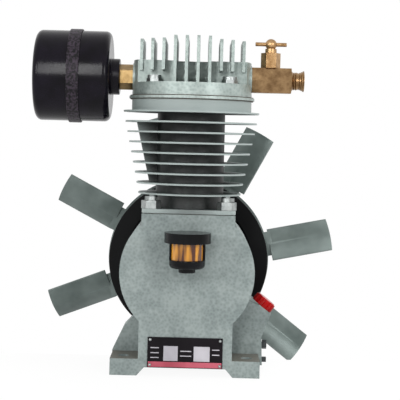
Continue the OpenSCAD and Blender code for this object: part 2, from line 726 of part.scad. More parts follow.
// Oil cup on the front of the crankcase
cup_wall = 2;
cup_fit = 0.15;
cup_round = 4;
cup_base_h = 8;
cup_nub_r = 8;
cup_nub_h = 4;
post_w = 5;
stem_half = 8;
glass_wall = 2;
cup_low = cup_cap_z - cup_long;
cup_glass_r = cup_r - cup_wall;
module at_cup(z) {
    translate([0, cup_y, z]) children();
}
module oil_cup_cap() color([0.05, 0.05, 0.06]) {
    at_cup(cup_cap_z) cylinder(r = cup_cap_r, h = cup_cap_h);
    translate([-stem_half, cup_y, cup_cap_z]) cube([2 * stem_half, -case_front - cup_y, cup_cap_h]);
    along_y(-case_front - over) translate([0, -stem_z, 0]) cylinder(r = stem_r, h = case_wall);
}
module oil_cup_glass() color([0.75, 0.45, 0.1, 0.6]) at_cup(cup_low + cup_base_h + seat_gap) difference() {
    cylinder(r = cup_glass_r, h = cup_long - cup_base_h - seat_gap);
    translate([0, 0, glass_wall]) cylinder(r = cup_glass_r - glass_wall, h = cup_long);
}
module oil_cup_cage() color([0.05, 0.05, 0.06]) {
    at_cup(cup_low) rotate_extrude() {
        translate([0, -cup_nub_h]) square([cup_nub_r, cup_nub_h + over]);
        square([cup_r - cup_round, cup_base_h]);
        translate([0, cup_round]) square([cup_r, cup_base_h - cup_round]);
        translate([cup_r - cup_round, cup_round]) circle(r = cup_round);
    }
    at_cup(cup_low + cup_base_h - over) difference() {
        intersection() {
            cylinder(r = cup_r, h = cup_long - cup_base_h + over);
            union() {
                translate([-cup_r, -post_w / 2, 0]) cube([2 * cup_r, post_w, cup_long]);
                translate([-cup_r, 0, 0]) cube([2 * cup_r, cup_r, cup_long]);
            }
        }
        translate([0, 0, -over]) cylinder(r = cup_glass_r + cup_fit, h = cup_long + 2 * over);
    }
}

// Plugs and name plate
cap_rib_r = 1.2;
filler_cap_r = 10;
filler_cap_h = 8.5;
filler_shank = 12;
filler_ribs = 12;
level_flats = 8;
level_head = 4.5;
drain_half = 2.3;
drain_head = 4.5;
module oil_filler_plug() color([0.8, 0.03, 0.03]) at_spout() {
    cylinder(r = filler_cap_r, h = filler_cap_h);
    for (i = [1:filler_ribs]) rotate([0, 0, i * 360 / filler_ribs])
        translate([filler_cap_r, 0, 0]) cylinder(r = cap_rib_r, h = filler_cap_h - over);
    translate([0, 0, -filler_shank]) cylinder(r = spout_bore_r, h = filler_shank + over);
}
module oil_level_plug() color([0.25, 0.28, 0.28]) translate([0, wing_y, 0]) {
    along_x(block_side, level_z) hex_bar(level_flats, level_head);
    along_x(block_side - plug_bore_depth + over, level_z) cylinder(r = plug_bore_r, h = plug_bore_depth);
}
module oil_drain_plug() color([0.06, 0.06, 0.06]) translate([0, wing_y, 0]) {
    translate([block_side, -drain_half, drain_z - drain_half]) cube([drain_head, 2 * drain_half, 2 * drain_half]);
    along_x(block_side - plug_bore_depth + over, drain_z) cylinder(r = plug_bore_r, h = plug_bore_depth);
}
module name_plate() color([0.08, 0.07, 0.09]) difference() {
    translate([-plate_half, -case_front - plate_t, plate_low]) cube([2 * plate_half, plate_t, plate_high - plate_low]);
    name_plate_corners(-case_front - plate_t - over) cylinder(r = rivet_r + seat_gap, h = plate_t + 2 * over);
}
module name_plate_rivets() color([0.75, 0.75, 0.75]) name_plate_corners(-case_front - plate_t) {
    cylinder(r = rivet_r, h = plate_t + rivet_depth - over);
    rotate_extrude() intersection() {
        circle(r = rivet_head_r);
        translate([0, -rivet_head_r]) square([rivet_head_r, rivet_head_r]);
    }
}

// Crankshaft
web_boss_r = 18;
web_pin_r = 15;
counter_r = 41;
counter_half = 34;
counter_top = 6;
key_w = 8;
key_h = 7;
key_inset = 1;
module key_bar(gap) {
    translate([-key_w / 2 - gap, pulley_y + key_inset - gap, axis_z + seat_r - key_h / 2 - gap])
        cube([key_w + 2 * gap, pulley_w - 2 * key_inset + 2 * gap, key_h + 2 * gap]);
}
module crankshaft() color([0.45, 0.46, 0.48]) difference() {
    union() {
        front_slab(web_y, web_y + web_t) {
            translate([0, axis_z]) circle(r = web_boss_r);
            translate([0, big_end_z]) circle(r = web_pin_r);
            translate([-web_pin_r, axis_z]) square([2 * web_pin_r, throw]);
            intersection() {
                translate([0, axis_z]) circle(r = counter_r);
                translate([-counter_half, axis_z - counter_r - over])
                    square([2 * counter_half, counter_r - counter_top]);
            }
            translate([-web_boss_r, axis_z - web_boss_r]) square([2 * web_boss_r, web_boss_r]);
        }
        on_axis(web_y) cylinder(r = shaft_r + 3, h = web_t + shoulder_w);
        on_axis(web_y) cylinder(r = shaft_r, h = housing_end + over - web_y);
        on_axis(web_y) cylinder(r = seat_r, h = pulley_end - over / 2 - web_y);
        on_axis(web_y) cylinder(r = thread_r, h = thread_end - web_y);
    }
    key_bar(seat_gap);
}
module shaft_key() color([0.6, 0.6, 0.6]) key_bar(0);
module shaft_nut() color([0.75, 0.75, 0.75]) on_axis(disc_end) nut(thread_r, nut_h);

// Pulley of two pressed halves, mirror images that meet at the middle of the groove
hub_r = 24;
dish_in = 66;
dish_depth = 5;
module pulley_half() {
    rim_y = (pulley_w - groove_w) / 2;
    root_y = pulley_w / 2 - groove_w / 2 + groove_depth * tan(groove_angle / 2);
    rotate_extrude() difference() {
        polygon([[seat_r + seat_gap, 0], [pulley_r, 0], [pulley_r, rim_y], [pulley_r - groove_depth, root_y],
            [pulley_r - groove_depth, pulley_w / 2], [seat_r + seat_gap, pulley_w / 2]]);
        translate([hub_r, -over]) square([dish_in - hub_r, dish_depth + over]);
    }
}
module pulley_front_half() color([0.03, 0.03, 0.03]) difference() {
    on_axis(pulley_y) pulley_half();
    key_bar(seat_gap);
}
module pulley_rear_half() color([0.03, 0.03, 0.03]) difference() {
    on_axis(pulley_end) mirror([0, 0, 1]) pulley_half();
    key_bar(seat_gap);
    fan_rivets_at(pulley_end - rivet_long) cylinder(r = fan_rivet_r + seat_gap, h = rivet_long + over);
}

// Fan: a disc on the rear of the pulley and blades on tabs behind it
fan_rivet_r = 2.5;
fan_rivet_ring = 75;
rivet_long = 5;
tab_in = 66;
tab_half = 13;
blade_start = 3;
blade_bow_share = 1.3;
module fan_rivets_at(y) {
    for (a = blade_angles, side = [-1, 1]) on_axis(y) rotate([0, 0, -a])
        translate([fan_rivet_ring, side * tab_half / 2, 0]) children();
}
module fan_disc() color([0.42, 0.48, 0.45]) difference() {
    on_axis(pulley_end) ring(pulley_r + fan_lip, thread_r + seat_gap, fan_sheet);
    fan_rivets_at(pulley_end - over) cylinder(r = fan_rivet_r + seat_gap, h = fan_sheet + 2 * over);
}
// One blade: a bowed strip cut from a tube, pitched, run out from the rim and cut round at the tip
module fan_blade(i) color([0.42, 0.48, 0.45])
    on_axis(disc_end) rotate([0, 0, -blade_angles[i - 1]]) {
        bow_r = blade_chord * blade_bow_share;
        start = pulley_r + fan_lip + blade_start;
        difference() {
            union() {
                translate([tab_in, -tab_half, 0]) cube([start + blade_start - tab_in, 2 * tab_half, fan_sheet]);
                intersection() {
                    translate([start, 0, fan_sheet / 2]) rotate([-blade_pitch, 0, 0]) rotate([90, 0, 90])
                        linear_extrude(fan_r) intersection() {
                            translate([0, bow_r - fan_sheet / 2]) difference() {
                                circle(r = bow_r, $fn = 4 * $fn);
                                circle(r = bow_r - fan_sheet, $fn = 4 * $fn);
                            }
                            translate([-blade_chord / 2, -bow_r]) square([blade_chord, 2 * bow_r]);
                        }
                    translate([0, 0, -blade_chord]) cylinder(r = fan_r, h = 2 * blade_chord);
                }
            }
            for (side = [-1, 1]) translate([fan_rivet_ring, side * tab_half / 2, -over])
                cylinder(r = fan_rivet_r + seat_gap, h = fan_sheet + 2 * over);
        }
    }
module fan_rivets() color([0.6, 0.62, 0.6]) {
    fan_rivets_at(pulley_end - rivet_long + over) cylinder(r = fan_rivet_r, h = rivet_long + 2 * fan_sheet);
    fan_rivets_at(disc_end + fan_sheet) rotate_extrude() intersection() {
        circle(r = 2 * fan_rivet_r);
        square([2 * fan_rivet_r, fan_rivet_r]);
    }
}

// Piston with its rings, wrist pin and circlips
piston_r = bore_r - piston_gap;
piston_wall = 3.5;
crown_t = 6;
ring_w = 2;
ring_depth = 2.2;
ring_pitch = 4;
ring_count = 3;
ring_cut = 0.5;
pin_boss_r = 11;
pin_boss_y = 10.5;
pin_half = 22.5;
circlip_w = 1.2;
circlip_depth = 0.8;
function ring_low(i) = crown_z - ring_pitch * i - ring_w;
module piston_solid() {
    translate([0, 0, wrist_z - skirt_drop]) difference() {
        cylinder(r = piston_r, h = skirt_drop + crown_rise);
        translate([0, 0, -over]) cylinder(r = piston_r - piston_wall - ring_depth / 2,
            h = skirt_drop + crown_rise - crown_t + over);
    }
    intersection() {
        translate([0, 0, wrist_z - skirt_drop]) cylinder(r = piston_r - over, h = skirt_drop + crown_rise);
        for (side = [-1, 1]) front_slab(side > 0 ? pin_boss_y : -piston_r, side > 0 ? piston_r : -pin_boss_y)
            translate([0, wrist_z]) circle(r = pin_boss_r);
    }
}
module at_wrist(y) {
    translate([0, y, wrist_z]) rotate([-90, 0, 0]) children();
}
module piston() color([0.72, 0.73, 0.75]) difference() {
    piston_solid();
    for (i = [1:ring_count]) translate([0, 0, ring_low(i) - run_gap])
        ring(bore_r + over, piston_r - ring_depth, ring_w + 2 * run_gap);
    at_wrist(-bore_r) cylinder(r = wrist_r + seat_gap, h = 2 * bore_r);
    for (side = [-1, 1]) at_wrist(side > 0 ? pin_half : -pin_half - circlip_w)
        cylinder(r = wrist_r + circlip_depth, h = circlip_w);
}
module piston_rings() color([0.35, 0.35, 0.37]) for (i = [1:ring_count]) difference() {
    translate([0, 0, ring_low(i)]) ring(bore_r - run_gap / 2, piston_r - ring_depth + run_gap, ring_w);
    translate([0, -ring_cut / 2, ring_low(i) - over]) cube([bore_r + over, ring_cut, ring_w + 2 * over]);
}
module wrist_pin() color([0.7, 0.7, 0.72]) at_wrist(-pin_half) ring(wrist_r, wrist_r / 2, 2 * pin_half);
module wrist_pin_circlips() color([0.3, 0.3, 0.3]) for (side = [-1, 1])
    at_wrist(side > 0 ? pin_half + seat_gap : -pin_half - circlip_w + seat_gap)
        ring(wrist_r + circlip_depth - seat_gap, wrist_r - circlip_depth, circlip_w - 2 * seat_gap);

// Connecting rod with its bushes, and the crank pin in its big end
bush_wall = 2;
eye_wall = 4;
small_w = 18;
shank_half_shares = [0.55, 0.6];
shank_w = 12;
shank_recess = 3.5;
shank_rail = 2.6;
dipper_r = 2.5;
dipper_long = 14;
small_eye_r = wrist_r + bush_wall + eye_wall;
big_eye_r = crank_pin_r + bush_wall + eye_wall;
module shank_outline(inset) {
    top = small_eye_r * shank_half_shares[0] - inset;
    low = big_eye_r * shank_half_shares[1] - inset;
    drop = inset > 0 ? inset : 0;
    polygon([[-low, big_end_z + (drop > 0 ? big_eye_r + drop : 0)], [low, big_end_z + (drop > 0 ? big_eye_r + drop : 0)],
        [top, wrist_z - (drop > 0 ? small_eye_r + drop : 0)], [-top, wrist_z - (drop > 0 ? small_eye_r + drop : 0)]]);
}
module connecting_rod() color([0.6, 0.62, 0.64]) difference() {
    union() {
        front_slab(-small_w / 2, small_w / 2) translate([0, wrist_z]) circle(r = small_eye_r);
        front_slab(-rod_w / 2, rod_w / 2) translate([0, big_end_z]) circle(r = big_eye_r);
        front_slab(-shank_w / 2, shank_w / 2) shank_outline(0);
        translate([0, 0, big_end_z - big_eye_r - dipper_long]) cylinder(r = dipper_r, h = dipper_long + eye_wall / 2);
    }
    for (side = [-1, 1]) front_slab(side > 0 ? shank_w / 2 - shank_recess : -shank_w / 2 - over,
        side > 0 ? shank_w / 2 + over : -shank_w / 2 + shank_recess) shank_outline(shank_rail);
    at_wrist(-bore_r) cylinder(r = wrist_r + bush_wall + seat_gap, h = 2 * bore_r);
    translate([0, -bore_r, big_end_z]) rotate([-90, 0, 0])
        cylinder(r = crank_pin_r + bush_wall + seat_gap, h = 2 * bore_r);
}
module rod_bushes() color([0.72, 0.55, 0.3]) {
    at_wrist(-small_w / 2) ring(wrist_r + bush_wall, wrist_r + run_gap, small_w);
    translate([0, -rod_w / 2, big_end_z]) rotate([-90, 0, 0])
        ring(crank_pin_r + bush_wall, crank_pin_r + run_gap, rod_w);
}
module crank_pin() color([0.7, 0.7, 0.72]) {
    pin_front = rod_w / 2 + over;
    translate([0, -pin_front, big_end_z]) rotate([-90, 0, 0])
        cylinder(r = crank_pin_r, h = pin_front + web_y - pin_end_gap);
    translate([0, -pin_front - over, big_end_z]) rotate([-90, 0, 0])
        cylinder(r = crank_pin_r + bush_wall, h = over);
}

crankcase();
rear_bearing_housing();
rear_gasket();
rear_housing_screws();
shaft_oil_seal();
bearing_outer_races();
cylinder_body();  // cylinder
base_gasket();
cylinder_studs();
cylinder_nuts();
head_gaskets();
valve_plate();
reed_stop();
reed_screws();
cylinder_head();
head_bolts();
intake_nipple();
filter_body();
filter_band();
filter_element();
filter_cover();
outlet_tee();
bleed_valve_body();
bleed_spindle();
bleed_knob();
bleed_tee_bar();
oil_cup_cap();
oil_cup_glass();
oil_cup_cage();
oil_filler_plug();
oil_drain_plug();
oil_level_plug();
name_plate();
name_plate_rivets();
crankshaft();
bearing_inner_races();
bearing_balls();
shaft_key();
pulley_front_half();
pulley_rear_half();
fan_disc();
for (i = [1:len(blade_angles)]) fan_blade(i);
fan_rivets();
shaft_nut();
piston();
piston_rings();
wrist_pin();
wrist_pin_circlips();
connecting_rod();
rod_bushes();
crank_pin();
suction_reed();
discharge_reed();
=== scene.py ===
"""Workshop look of an air compressor pump head: finned cylinder, crankcase, inlet filter and fan flywheel."""
import json
import math

import bmesh
import bpy
from mathutils import Matrix, Vector


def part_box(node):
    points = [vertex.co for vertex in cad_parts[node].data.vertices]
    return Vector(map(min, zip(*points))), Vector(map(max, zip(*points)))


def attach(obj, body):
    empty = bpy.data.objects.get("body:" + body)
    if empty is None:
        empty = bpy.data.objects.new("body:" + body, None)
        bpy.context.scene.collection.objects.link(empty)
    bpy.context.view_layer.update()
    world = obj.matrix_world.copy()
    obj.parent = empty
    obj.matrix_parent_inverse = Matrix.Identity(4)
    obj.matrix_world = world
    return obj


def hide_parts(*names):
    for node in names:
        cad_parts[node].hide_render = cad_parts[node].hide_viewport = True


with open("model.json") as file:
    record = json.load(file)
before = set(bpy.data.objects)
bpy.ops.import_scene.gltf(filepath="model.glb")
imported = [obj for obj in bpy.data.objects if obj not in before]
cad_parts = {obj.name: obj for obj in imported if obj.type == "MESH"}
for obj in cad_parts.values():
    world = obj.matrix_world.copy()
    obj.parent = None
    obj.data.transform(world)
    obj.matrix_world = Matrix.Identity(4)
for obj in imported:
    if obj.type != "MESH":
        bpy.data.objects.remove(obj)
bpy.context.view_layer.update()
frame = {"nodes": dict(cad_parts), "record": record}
MM = 0.001

bl_info = {
    "name": "Compressor Pump Head",
    "version": (1, 0, 0),
    "blender": (4, 2, 0),
    "location": "3D View > Sidebar > Pump Head",
    "description": "Dresses a belt-driven air compressor pump head with cast, moulded and machined finishes",
    "category": "Object",
}


def middle(node, axis):
    """The middle of a CAD node's box along one axis, in metres."""
    low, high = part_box(node)
    return (low[axis] + high[axis]) / 2


PORT_Z = middle("outlet_tee", 2)
BLADES = sum(node.startswith("fan_blade_") for node in frame["nodes"])

# The oily film on the foot ledges: up to this height in mm, its strength and its colour
LEDGE_TOP = 18
FILM_COVER = 0.75
OIL_FILM = "#4E4437"

# A wave texture's Scale for bands 1 m apart
WAVE_SCALE = 0.314

# The outlet's thread, in mm: its length, its plain end, the radii that it lies between, and root over crest
THREAD_LONG = 12.0
THREAD_CHAMFER = 0.9
THREAD_SKIN = (9, 11)
THREAD_ROOT = 0.9

# The name plate's print, in mm from its middle and its lower edge
FIELDS_X = ((-20.6, -6.9), (8.4, 23.7))
FIELD_Z = (6.5, 20.7)
FIELD_THICK = 0.12
LINES = ((-33, -25, 18.4), (-33, -25, 13.6), (-33, -25, 9.0), (-4.6, 6, 15.6), (-4.6, 6, 11.0),
         (26, 33, 17.4), (26, 33, 12.6))
LINE_THICK = 0.1
LINE_TALL = 0.9
STRIP_HALF = 35.2
STRIP_Z = (0.5, 5.6)

# The bench, in mm, how white it is behind the pump, and the plain light of the room
BENCH_BOX = ((-700, -900, -24), (700, 52, 0))
BENCH_WHITE = 0.93
ROOM_LIGHT = 0.36

# Lamps: name, place, height aimed at, size in metres, watts, and whether gloss shows them
SOFTBOXES = (
    ("left_softbox", (-1.05, -1.35, 0.62), 0.22, (0.3, 0.5), 7, True),
    ("right_softbox", (1.05, -1.35, 0.62), 0.22, (0.45, 0.5), 8, True),
    ("strip_softbox", (-0.3, -1.7, 0.72), 0.28, (0.16, 0.8), 8, True),
    ("top_softbox", (0.35, -0.35, 1.5), 0.2, (1.0, 0.8), 10, False),
    ("left_side_fill", (-1.7, 0.2, 0.7), 0.2, (1.0, 0.9), 13, False),
    ("right_side_fill", (1.7, 0.2, 0.7), 0.2, (1.0, 0.9), 13, False),
    ("back_softbox", (0.3, 1.5, 0.9), 0.2, (1.0, 0.8), 16, False),
)

# The camera, in metres: square to the front, 1.2 m off, rolled by the photograph's own 1.5 degrees
CAMERA_PLACE = (0.009, -1.2, 0.232)
CAMERA_LENS = 108.0
CAMERA_SENSOR = 36.0
CAMERA_SHIFT = -0.1625
CAMERA_ROLL = -1.5


# Materials

def linear(hexa):
    """Turns an sRGB hex colour into the linear values that shaders take."""
    values = [int(hexa[i:i + 2], 16) / 255 for i in (1, 3, 5)]
    return (*[v / 12.92 if v <= 0.04045 else ((v + 0.055) / 1.055) ** 2.4 for v in values], 1.0)


def add_node(tree, kind, settings=None, **inputs):
    """Adds a node, sets its properties, and fills or links its sockets by name or number."""
    node = tree.nodes.new(kind)
    for key, value in (settings or {}).items():
        setattr(node, key, value)
    for key, value in inputs.items():
        socket = node.inputs[int(key[1:])] if key[0] == "_" else node.inputs[key.replace("_", " ")]
        if isinstance(value, bpy.types.NodeSocket):
            tree.links.new(value, socket)
        else:
            socket.default_value = value
    return node


def new_material(name, **shader):
    """A material with one Principled BSDF, and Object coordinates in metres for its patterns."""
    material = bpy.data.materials.new(name)
    material.use_nodes = True
    tree = material.node_tree
    tree.nodes.clear()
    surface = add_node(tree, "ShaderNodeBsdfPrincipled", None, **shader)
    add_node(tree, "ShaderNodeOutputMaterial", None, Surface=surface.outputs[0])
    place = add_node(tree, "ShaderNodeTexCoord").outputs["Object"]
    return material, tree, surface, place


def shade(tree, factor, low, high, start=0.3, end=0.7):
    """A two-colour ramp over a pattern's value."""
    ramp = add_node(tree, "ShaderNodeValToRGB", None, Fac=factor)
    ramp.color_ramp.elements[0].position = start
    ramp.color_ramp.elements[1].position = end
    ramp.color_ramp.elements[0].color = linear(low)
    ramp.color_ramp.elements[1].color = linear(high)
    return ramp.outputs["Color"]


def rough(tree, factor, low, high):
    """A roughness that wanders between two values with a pattern."""
    spread = add_node(tree, "ShaderNodeMapRange", None, Value=factor)
    spread.inputs["To Min"].default_value = low
    spread.inputs["To Max"].default_value = high
    return spread.outputs["Result"]


def seen_rays(tree):
    """1 for the rays that see the plain white background: from the camera, mirrored or refracted."""
    path = add_node(tree, "ShaderNodeLightPath")
    direct = add_node(tree, "ShaderNodeMath", {"operation": "MAXIMUM"}, _0=path.outputs["Is Camera Ray"],
                      _1=path.outputs["Is Glossy Ray"])
    return add_node(tree, "ShaderNodeMath", {"operation": "MAXIMUM"}, _0=direct.outputs[0],
                    _1=path.outputs["Is Transmission Ray"]).outputs[0]


def hammertone_enamel(name, dark, light, spot_mm=2.6, dent=0.3, gloss=0.35, metal=0.0, grime=False):
    """Hammertone enamel on rough cast iron: the paint shrinks into shallow round dimples, each one glossy,
    over clouds about 36 mm wide. With grime, an oily brown film lies on the foot ledges."""
    material, tree, surface, place = new_material(name, IOR=1.5, Metallic=metal)
    patches = add_node(tree, "ShaderNodeTexNoise", None, Vector=place, Scale=28.0, Detail=4.0, Roughness=0.6)
    dimples = add_node(tree, "ShaderNodeTexVoronoi", {"feature": "SMOOTH_F1"}, Vector=place,
                       Scale=1 / (spot_mm * MM), Smoothness=0.6)
    sand = add_node(tree, "ShaderNodeTexNoise", None, Vector=place, Scale=1 / (1.1 * MM), Detail=3.0)
    both = add_node(tree, "ShaderNodeMix", {"data_type": "FLOAT"}, _0=0.3,
                    _2=patches.outputs["Fac"], _3=dimples.outputs["Distance"])
    paint = shade(tree, both.outputs[0], dark, light, 0.3, 0.62)
    if grime:
        spot = add_node(tree, "ShaderNodeSeparateXYZ", None, Vector=place)
        facing = add_node(tree, "ShaderNodeSeparateXYZ", None,
                          Vector=add_node(tree, "ShaderNodeNewGeometry").outputs["Normal"])
        low = add_node(tree, "ShaderNodeMath", {"operation": "LESS_THAN"}, _0=spot.outputs["Z"],
                       _1=LEDGE_TOP * MM)
        flat = add_node(tree, "ShaderNodeMath", {"operation": "MULTIPLY"}, _0=low.outputs[0],
                        _1=facing.outputs["Z"])
        film = add_node(tree, "ShaderNodeMath", {"operation": "MULTIPLY", "use_clamp": True},
                        _0=flat.outputs[0], _1=FILM_COVER)
        stained = add_node(tree, "ShaderNodeMix", {"data_type": "RGBA"}, _0=film.outputs[0], _6=paint,
                           _7=linear(OIL_FILM))
        paint = stained.outputs[2]
    tree.links.new(paint, surface.inputs["Base Color"])
    tree.links.new(rough(tree, patches.outputs["Fac"], gloss, gloss + 0.25), surface.inputs["Roughness"])
    height = add_node(tree, "ShaderNodeMix", {"data_type": "FLOAT"}, _0=0.35,
                      _2=dimples.outputs["Distance"], _3=sand.outputs["Fac"])
    bump = add_node(tree, "ShaderNodeBump", None, Height=height.outputs[0], Strength=dent, Distance=0.6 * MM)
    tree.links.new(bump.outputs["Normal"], surface.inputs["Normal"])
    return material


def finned_enamel(name, barrel, fin, root_mm, tip_mm):
    """Thin enamel on a finned iron barrel: near black at the fins' roots, where oily iron carries painted
    shade between the fins, and light grey at their tips, where painted light falls on the fin edges."""
    material, tree, surface, place = new_material(name, IOR=1.5)
    spot = add_node(tree, "ShaderNodeSeparateXYZ", None, Vector=place)
    flat = add_node(tree, "ShaderNodeCombineXYZ", None, X=spot.outputs["X"], Y=spot.outputs["Y"])
    radius = add_node(tree, "ShaderNodeVectorMath", {"operation": "LENGTH"}, _0=flat.outputs[0])
    # Painted shade and light: darker near the bore's axis between the fins, lighter out at the fin tips
    root_shade_tip_light = add_node(tree, "ShaderNodeMapRange", None, Value=radius.outputs["Value"])
    root_shade_tip_light.inputs["From Min"].default_value = root_mm * MM
    root_shade_tip_light.inputs["From Max"].default_value = tip_mm * MM
    cloud = add_node(tree, "ShaderNodeTexNoise", None, Vector=place, Scale=1 / (7 * MM), Detail=4.0)
    sand = add_node(tree, "ShaderNodeTexNoise", None, Vector=place, Scale=1 / (1.1 * MM), Detail=3.0)
    worn = add_node(tree, "ShaderNodeMath", {"operation": "MULTIPLY_ADD", "use_clamp": True},
                    _0=cloud.outputs["Fac"], _1=0.3, _2=-0.15)
    total = add_node(tree, "ShaderNodeMath", {"operation": "ADD", "use_clamp": True},
                     _0=root_shade_tip_light.outputs["Result"], _1=worn.outputs[0])
    tree.links.new(shade(tree, total.outputs[0], barrel, fin, 0.0, 0.9), surface.inputs["Base Color"])
    tree.links.new(rough(tree, cloud.outputs["Fac"], 0.35, 0.6), surface.inputs["Roughness"])
    bump = add_node(tree, "ShaderNodeBump", None, Height=sand.outputs["Fac"], Strength=0.3, Distance=0.4 * MM)
    tree.links.new(bump.outputs["Normal"], surface.inputs["Normal"])
    return material


def sprayed_enamel(name, dark, light, metal=0.0, low=0.3, high=0.5, shine=0.5):
    """Sprayed enamel on pressed steel: even colour with faint clouds about 45 mm wide, and an orange-peel
    skin, 1.5 mm from dimple to dimple."""
    material, tree, surface, place = new_material(name, IOR=1.5, Metallic=metal)
    surface.inputs["Specular IOR Level"].default_value = shine
    cloud = add_node(tree, "ShaderNodeTexNoise", None, Vector=place, Scale=22.0, Detail=3.0, Roughness=0.55)
    peel = add_node(tree, "ShaderNodeTexNoise", None, Vector=place, Scale=1 / (1.5 * MM), Detail=1.0)
    tree.links.new(shade(tree, cloud.outputs["Fac"], dark, light), surface.inputs["Base Color"])
    tree.links.new(rough(tree, cloud.outputs["Fac"], low, high), surface.inputs["Roughness"])
    bump = add_node(tree, "ShaderNodeBump", None, Height=peel.outputs["Fac"], Strength=0.12,
                    Distance=0.2 * MM)
    tree.links.new(bump.outputs["Normal"], surface.inputs["Normal"])
    return material


def moulded_plastic(name, dark, light, low=0.14, high=0.26):
    """Moulded nylon: deep colour under a glossy skin, dusty in places, with the slow ripples of a cooled
    moulding, 18 mm apart."""
    material, tree, surface, place = new_material(name, IOR=1.5)
    surface.inputs["Specular IOR Level"].default_value = 0.14
    ripple = add_node(tree, "ShaderNodeTexNoise", None, Vector=place, Scale=1 / (18 * MM), Detail=2.0)
    dust = add_node(tree, "ShaderNodeTexNoise", None, Vector=place, Scale=1 / (1.6 * MM), Detail=5.0)
    tree.links.new(shade(tree, ripple.outputs["Fac"], dark, light), surface.inputs["Base Color"])
    tree.links.new(rough(tree, dust.outputs["Fac"], low, high), surface.inputs["Roughness"])
    bump = add_node(tree, "ShaderNodeBump", None, Height=ripple.outputs["Fac"], Strength=0.15,
                    Distance=0.5 * MM)
    tree.links.new(bump.outputs["Normal"], surface.inputs["Normal"])
    return material


def machined_metal(name, dark, light, low=0.22, high=0.42, mark_mm=0.7, axis="X", mark=0.15):
    """Turned or drawn metal: fine tool marks round one axis, and slow stains where it was handled."""
    material, tree, surface, place = new_material(name, Metallic=1.0)
    stain_and_painted_streak = add_node(tree, "ShaderNodeTexNoise", None, Vector=place, Scale=1 / (9 * MM), Detail=5.0,
                     Roughness=0.65)
    cuts = add_node(tree, "ShaderNodeTexWave", {"bands_direction": axis}, Vector=place,
                    Scale=WAVE_SCALE / (mark_mm * MM), Distortion=1.5, Detail=2.0)
    tree.links.new(shade(tree, stain_and_painted_streak.outputs["Fac"], dark, light), surface.inputs["Base Color"])
    tree.links.new(rough(tree, stain_and_painted_streak.outputs["Fac"], low, high), surface.inputs["Roughness"])
    bump = add_node(tree, "ShaderNodeBump", None, Height=cuts.outputs["Fac"], Strength=mark,
                    Distance=0.1 * MM)
    tree.links.new(bump.outputs["Normal"], surface.inputs["Normal"])
    return material


def pressed_fibre(name, dark, light):
    """Pressed gasket fibre or pleated paper: matt, flecked about every 0.8 mm, with no shine."""
    material, tree, surface, place = new_material(name, Roughness=0.9)
    fleck = add_node(tree, "ShaderNodeTexNoise", None, Vector=place, Scale=1 / (0.8 * MM), Detail=4.0)
    tree.links.new(shade(tree, fleck.outputs["Fac"], dark, light), surface.inputs["Base Color"])
    bump = add_node(tree, "ShaderNodeBump", None, Height=fleck.outputs["Fac"], Strength=0.3,
                    Distance=0.2 * MM)
    tree.links.new(bump.outputs["Normal"], surface.inputs["Normal"])
    return material


def oil_cup_glass(name, amber_lit, amber_shaded):
    """Amber acrylic: wet-looking, with painted upright streaks of shade and highlight, 5.5 mm apart."""
    material, tree, surface, place = new_material(name, IOR=1.49, Roughness=0.08)
    surface.inputs["Transmission Weight"].default_value = 0.2
    surface.inputs["Coat Weight"].default_value = 0.25
    upright = add_node(tree, "ShaderNodeMapping", None, Vector=place, Scale=(1.0, 1.0, 0.12))
    stain_and_painted_streak = add_node(tree, "ShaderNodeTexNoise", None, Vector=upright.outputs[0], Scale=1 / (5.5 * MM),
                     Detail=2.0)
    # Painted shade and highlight: dark brown and bright amber upright streaks
    tree.links.new(shade(tree, stain_and_painted_streak.outputs["Fac"], amber_shaded, amber_lit, 0.4, 0.62), surface.inputs["Base Color"])
    return material


def knurled_band(name, dark, light, pitch_mm=2.2):
    """Moulded grip band: raised flecks about 2.2 mm apart, worn grey on top and black between."""
    material, tree, surface, place = new_material(name, IOR=1.5, Roughness=0.45)
    surface.inputs["Specular IOR Level"].default_value = 0.2
    nibs = add_node(tree, "ShaderNodeTexNoise", None, Vector=place, Scale=1 / (pitch_mm * MM), Detail=1.0)
    tree.links.new(shade(tree, nibs.outputs["Fac"], dark, light, 0.42, 0.6), surface.inputs["Base Color"])
    bump = add_node(tree, "ShaderNodeBump", None, Height=nibs.outputs["Fac"], Strength=0.8,
                    Distance=0.6 * MM)
    tree.links.new(bump.outputs["Normal"], surface.inputs["Normal"])
    return material


# Pieces

SHEET = {}


def material_of(name):
    """Each finish is made once, when it is first asked for."""
    if name not in SHEET:
        SHEET[name] = FINISHES[name]()
    return SHEET[name]


def node_mesh(node):
    """A merged copy of a CAD node's mesh, with its flat faces made whole."""
    bm = bmesh.new()
    bm.from_mesh(frame["nodes"][node].data)
    bmesh.ops.remove_doubles(bm, verts=bm.verts, dist=0.002 * MM)
    bmesh.ops.dissolve_limit(bm, angle_limit=math.radians(0.05), verts=bm.verts, edges=bm.edges)
    return bm


def soften(bm, width_mm, segments=2, angle=40):
    """Rounds the edges of a mesh that turn more than an angle."""
    sharp = [e for e in bm.edges if e.is_manifold and abs(e.calc_face_angle_signed(0)) > math.radians(angle)]
    bmesh.ops.bevel(bm, geom=sharp, offset=width_mm * MM, offset_type="OFFSET", segments=segments,
                    profile=0.5, affect="EDGES", clamp_overlap=True, material=-1)
    bmesh.ops.dissolve_degenerate(bm, dist=0.001 * MM, edges=bm.edges)


def make_piece(bm, name, finish, body, replaced=(), crease=32):
    """Turns a bmesh into a finished object that rides on a body and may stand for CAD nodes."""
    for face in bm.faces:
        face.smooth = True
    for edge in bm.edges:
        edge.smooth = not edge.is_manifold or edge.calc_face_angle(0) < math.radians(crease)
    mesh = bpy.data.meshes.new(name)
    bm.to_mesh(mesh)
    bm.free()
    mesh.materials.append(material_of(finish))
    piece = bpy.data.objects.new(name, mesh)
    bpy.context.collection.objects.link(piece)
    even = piece.modifiers.new("even_shading", "WEIGHTED_NORMAL")
    even.keep_sharp = True
    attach(piece, body)
    if replaced:
        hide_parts(*replaced)
    return piece


